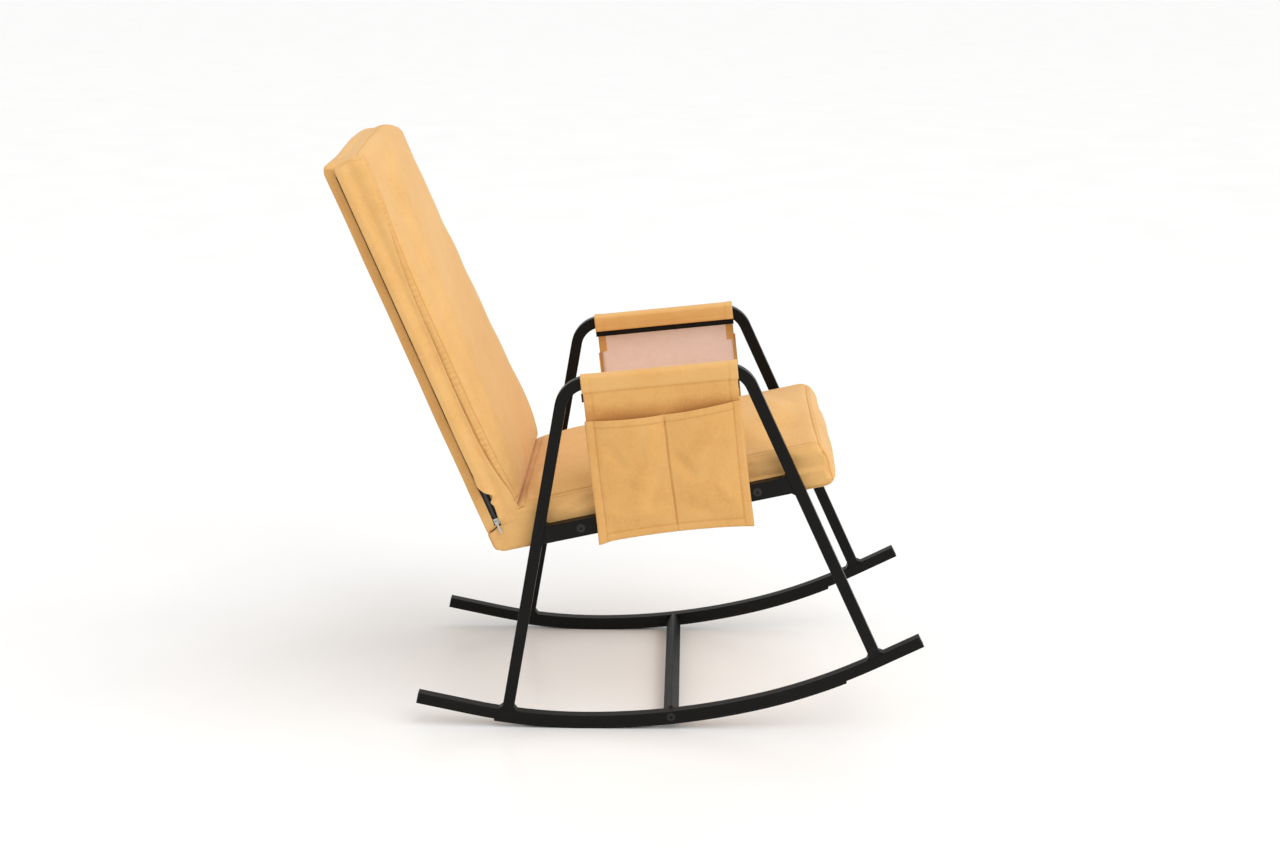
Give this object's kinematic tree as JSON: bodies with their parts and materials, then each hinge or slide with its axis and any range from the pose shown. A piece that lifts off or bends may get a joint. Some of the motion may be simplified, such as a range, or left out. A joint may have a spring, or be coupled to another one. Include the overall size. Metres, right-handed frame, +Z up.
{
  "type": "rocking chair",
  "caption": "Runner rocking chair: bent square-tube side frames on curved runners, padded seat and back with a side zipper, and hanging pockets on both arms.",
  "frame": {"origin": "on the floor, at the middle of the chair's box in plan", "axes": "+Z up, the sitter faces -Y, the sitter's right is -X"},
  "size_m": [0.499, 1.0166, 1.0117],
  "materials": {
    "black_steel": "satin powder coat",
    "black_rubber": "matte",
    "black_plastic": "satin",
    "black_bolt": "black oxide",
    "zinc_steel": "zinc plated",
    "plywood": "sanded",
    "foam": "open cell",
    "mustard_velour": "short nap",
    "rose_lining": "plain weave",
    "zipper_tape": "woven tape",
    "hook_tape": "hook side",
    "zipper_coil": "nylon",
    "nickel": "nickel plated"
  },
  "bodies": {
    "chair": {"arch_tube_right": "black_steel", "arch_tube_left": "black_steel", "runner_tube_right": "black_steel", "runner_tube_left": "black_steel", "seat_rail_right": "black_steel", "seat_rail_left": "black_steel", "weld_beads_right": "black_steel", "weld_beads_left": "black_steel", "rubber_strip_right": "black_rubber", "rubber_strip_left": "black_rubber", "runner_end_plugs": "black_plastic", "crossbar_tube": "black_steel", "crossbar_threaded_inserts": "zinc_steel", "crossbar_screws": "black_bolt", "rail_bolts": "black_bolt", "rivet_nuts": "zinc_steel", "inner_frame_tube_right": "black_steel", "inner_frame_tube_left": "black_steel", "inner_cross_tubes": "black_steel", "seat_board": "plywood", "back_board": "plywood", "seat_board_screws": "zinc_steel", "back_board_screws": "zinc_steel", "seat_foam": "foam", "back_foam": "foam", "seat_cover": "mustard_velour", "back_cover": "mustard_velour", "zipper_tape": "zipper_tape", "zipper_coil": "zipper_coil", "arm_wrap_right": "mustard_velour", "arm_wrap_left": "mustard_velour"},
    "pocket_flap_right": {"pocket_back_panel_right": "mustard_velour", "pocket_lining_right": "rose_lining", "pocket_front_panel_right": "mustard_velour", "pocket_seam_strips_right": "mustard_velour", "closure_tabs_right": "mustard_velour", "hook_tape_right": "hook_tape"},
    "pocket_flap_left": {"pocket_back_panel_left": "mustard_velour", "pocket_lining_left": "rose_lining", "pocket_front_panel_left": "mustard_velour", "pocket_seam_strips_left": "mustard_velour", "closure_tabs_left": "mustard_velour", "hook_tape_left": "hook_tape"},
    "zipper_slider": {"zipper_slider": "nickel"},
    "zipper_pull": {"zipper_pull": "nickel"}
  },
  "joints": [
    {"name": "pocket_flap_right_hinge", "type": "hinge", "parent": "chair", "child": "pocket_flap_right", "pos_m": [-0.2422, 0.08323, 0.61598], "axis": [0, 0.9944, -0.1052], "range_deg": [0, 80]},
    {"name": "pocket_flap_left_hinge", "type": "hinge", "parent": "chair", "child": "pocket_flap_left", "pos_m": [0.2422, 0.08323, 0.61598], "axis": [0, -0.9944, 0.1052], "range_deg": [0, 80]},
    {"name": "zipper_slide", "type": "slide", "parent": "chair", "child": "zipper_slider", "axis": [0, 0.3807, 0.9247], "range_m": [0, 0.63]},
    {"name": "zipper_pull_hinge", "type": "hinge", "parent": "zipper_slider", "child": "zipper_pull", "pos_m": [-0.2237, 0.23331, 0.37904], "axis": [0, 0.9247, -0.3807], "range_deg": [0, 180]}
  ]
}
